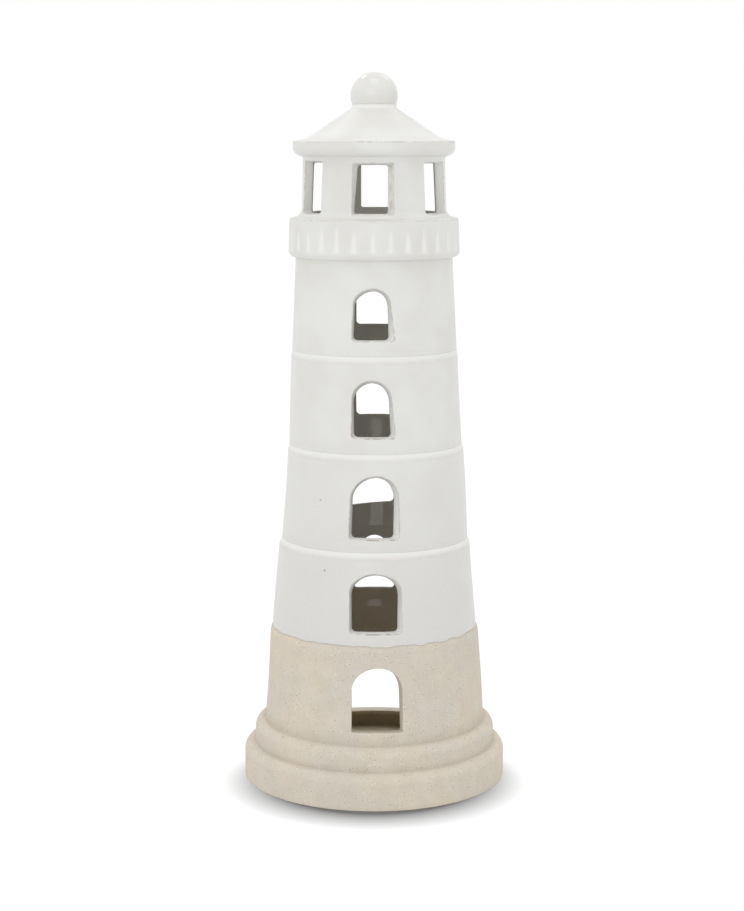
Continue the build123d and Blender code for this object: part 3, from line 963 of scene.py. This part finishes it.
for k, outlines in enumerate(lantern_outlines):
    turn = 360 * k / len(lantern_outlines)
    front, rear = turn == 0, turn == 180
    sill_corner = rear_sill_corner if rear else lantern_corner
    outer, inner = ((*line, (lantern_corner, lantern_corner), sill_corner, 0, 0) for line in outlines)
    lantern_openings.append({
        "turn": turn, "reach": lantern_window_reach, "low": low, "high": high, "outer": outer, "inner": inner,
        "lip": front_lip if front else lantern_lip, "worn": front_wear if front else 0,
    })
points, faces, lip, bare, jamb = windowed_ring(
    lantern_outer, lantern_inner, lantern_rows, lantern_openings, storey_column_step
)
# The lantern's jambs carry the same painted light.
cast_piece(
    "glazed_lantern_room", "lantern_room", points, faces,
    "white_glaze", white_glaze, lip=lip, bare=bare, pool=lantern_jamb_light * jamb,
)

# Roof: a hollow cone on a heavy eave ring, cast in one. The glaze breaks brown along the eave's upper edge.
# A neck at its tip has the hole for the finial's tenon.
eave_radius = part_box("roof")[1].x / MM
roof_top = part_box("roof")[1].z / MM
eave_height = 7.0
eave_top = lantern_top + eave_height
shelf_width = 6.8
shelf_rise = 1.3
neck_radius = 10.5
neck_height = 1.8
ceiling_radius = 14.0
mortise_radius = 5.2
eave_wear = 0.7
eave_wear_spread = 0.5
neck_pool = 0.9
neck_pool_spread = 1.2
mortise_depth = 7.2
mortise_wall = 3.5
mortise_floor = roof_top - mortise_depth
ceiling = mortise_floor - mortise_wall
roof_profile = rounded_line(
    (0, ceiling),
    (ceiling_radius, ceiling),
    (lantern_head_radius - lantern_wall, lantern_top + seam_lap),
    (roof_socket, lantern_top + seam_lap),
    (roof_socket, lantern_top),
    (eave_radius, lantern_top, 4.2),
    (eave_radius, eave_top, 0.8),
    (eave_radius - shelf_width, eave_top + shelf_rise, 6),
    (neck_radius, roof_top - neck_height, 2.4),
    (neck_radius, roof_top, 0.2),
    (mortise_radius, roof_top),
    (mortise_radius, mortise_floor),
    (0, mortise_floor),
    step=1.2,
)
turns = np.radians(np.arange(0, 360, storey_column_step))
points, faces = turned_piece(roof_profile, turns)
eave_corner = np.array([eave_radius, eave_top])
from_corner = np.linalg.norm(roof_profile - eave_corner, axis=1)
under = np.arange(len(roof_profile)) < np.flatnonzero(roof_profile[:, 0] > roof_socket)[0]
wear = eave_wear * np.exp(-(from_corner[1:-1] / eave_wear_spread) ** 2)
lip = np.append(np.repeat(wear, len(turns)), [0, 0])
bare = np.append(np.repeat(under[1:-1].astype(float), len(turns)), [1, 0])
from_neck = roof_profile[1:-1, 1] - roof_top + neck_height / 2
pooled = neck_pool * np.exp(-(from_neck / neck_pool_spread) ** 2)
pool = np.append(np.repeat(pooled, len(turns)), [0, 0])
cast_piece("glazed_roof", "roof", points, faces, "white_glaze", white_glaze, lip=lip, bare=bare, pool=pool)

# Finial: a ball of clay flattened where it sits on the neck, with a tenon that goes down into the roof.
# It is glazed with the rest, so its top carries the sharpest highlights.
finial_low, finial_high = (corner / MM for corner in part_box("finial"))
ball_radius = 11.2
tenon_radius = 5.0
ball_steps = 40
finial_column_step = 3.0
ball_centre = finial_high.z - ball_radius
seat_angle = np.arcsin((roof_top - ball_centre) / ball_radius)
angle = np.linspace(seat_angle, np.pi / 2, ball_steps)
ball = np.column_stack([ball_radius * np.cos(angle), ball_centre + ball_radius * np.sin(angle)])
tenon = rounded_line(
    (0, finial_low.z), (tenon_radius, finial_low.z, 0.5), (tenon_radius, roof_top), tuple(ball[0]), step=1.0
)
ball[-1, 0] = 0
turns = np.radians(np.arange(0, 360, finial_column_step))
points, faces = turned_piece(np.vstack([tenon, ball[1:]]), turns)
polish = np.ones(len(points))
cast_piece("glazed_finial", "finial", points, faces, "white_glaze", white_glaze, polish=polish)

# White sweep that the ornament stands on: away from the ornament, what the eye sees of it is lifted to
# white. Close to the foot, most of all in front, it is left grey: a painted shadow over the real one.
sweep_material = bpy.data.materials.new("white_sweep")
sweep_material.use_nodes = True
sweep_reach = 6.0
shadow_start = 51.3
shadow_end = 74
shadow_ahead = 16
lift_power = 0.8
lift_level = 0.83


def seen_rays(material):
    """1 on rays that make up what the eye sees, straight or by a mirror or glass, and 0 on other rays."""
    ray = shader_node(material, "ShaderNodeLightPath").outputs
    seen = ray["Is Camera Ray"]
    for kind in ("Is Glossy Ray", "Is Transmission Ray"):
        seen = shader_node(
            material, "ShaderNodeMath", {0: seen, 1: ray[kind]}, operation="MAXIMUM"
        ).outputs["Value"]
    return seen


sweep_mesh = bpy.data.meshes.new("floor_sweep")
sweep_mesh.from_pydata(
    [(x * sweep_reach, y * sweep_reach, 0) for x, y in ((-1, -1), (1, -1), (1, 1), (-1, 1))],
    [], [(0, 1, 2, 3)],
)
sweep_mesh.materials.append(sweep_material)
sweep = bpy.data.objects.new("floor_sweep", sweep_mesh)
bpy.context.scene.collection.objects.link(sweep)
matt = sweep_material.node_tree.nodes["Principled BSDF"]
matt.inputs["Roughness"].default_value = 1
matt.inputs["Specular IOR Level"].default_value = 0
matt.inputs["Emission Color"].default_value = (1, 1, 1, 1)
place = shader_node(sweep_material, "ShaderNodeTexCoord").outputs["Object"]
away = shader_node(
    sweep_material, "ShaderNodeVectorMath", {0: place, 1: (0, -shadow_ahead * MM, 0)}, operation="DISTANCE"
).outputs["Value"]
seen = seen_rays(sweep_material)
# Painted shadow: the eye sees this grey near the foot, where the lift below is held back.
shadow_grey_cloth = shader_node(
    sweep_material, "ShaderNodeMix", {0: seen, 6: linear("#F0F0F0"), 7: linear("#818181")}, data_type="RGBA"
).outputs[2]
lift = shader_node(
    sweep_material, "ShaderNodeMapRange",
    {"Value": away, "From Min": shadow_start * MM, "From Max": shadow_end * MM},
).outputs["Result"]
for operation, value in (("POWER", lift_power), ("MULTIPLY", lift_level), ("MULTIPLY", seen)):
    lift = shader_node(
        sweep_material, "ShaderNodeMath", {0: lift, 1: value}, operation=operation
    ).outputs["Value"]
for socket, value in {"Base Color": shadow_grey_cloth, "Emission Strength": lift}.items():
    sweep_material.node_tree.links.new(value, matt.inputs[socket])

# Studio light: a white room that sheds a little less light than it shows to the eye, a broad lamp overhead,
# another in front, and two weak lamps high at the back, which the ball mirrors.
room_shed = 0.88
room_shown = 1.0
world = bpy.data.worlds.new("white_studio")
world.use_nodes = True
bpy.context.scene.world = world
world.node_tree.nodes.clear()
seen = seen_rays(world)
shed, shown = (
    shader_node(
        world, "ShaderNodeBackground", {"Color": linear("#FFFFFF"), "Strength": strength}
    ).outputs["Background"]
    for strength in (room_shed, room_shown)
)
room = shader_node(world, "ShaderNodeMixShader", {0: seen, 1: shed, 2: shown}).outputs["Shader"]
shader_node(world, "ShaderNodeOutputWorld", {"Surface": room})

lamp_target = (0, 0, 0.17)
for name, place, size, power in (
    ("top_lamp", (0, -0.5, 1.95), 1.2, 3.6),
    ("front_lamp", (-0.75, -1.9, 0.8), 1.4, 3.0),
    ("back_lamp", (-0.60, 0.96, 1.47), 0.4, 1.1),
    ("back_window", (0.62, 0.95, 1.45), 0.7, 0.9),
):
    lamp = bpy.data.lights.new(name, "AREA")
    lamp.shape = "DISK"
    lamp.size = size
    lamp.energy = power
    holder = bpy.data.objects.new(name, lamp)
    bpy.context.scene.collection.objects.link(holder)
    aim = np.array(lamp_target) - place
    tip = np.arccos(-aim[2] / np.linalg.norm(aim))
    holder.location = place
    holder.rotation_euler = (tip, 0, np.arctan2(aim[1], aim[0]) - np.pi / 2)

# Camera at the photograph's viewing angle: a short telephoto in front, near the height of the roof and
# tipped down, so that the sills and the plinth's rings show as ellipses.
camera_place = (-1.05, -967, 311)
camera_tip = 9.02
camera_data = bpy.data.cameras.new("photo_camera")
camera_data.sensor_width = 36
camera_data.lens = 80
camera = bpy.data.objects.new("photo_camera", camera_data)
bpy.context.scene.collection.objects.link(camera)
camera.location = np.array(camera_place) * MM
camera.rotation_euler = (np.radians(90 - camera_tip), 0, 0)
bpy.context.scene.camera = camera
bpy.context.scene.view_settings.view_transform = "Standard"
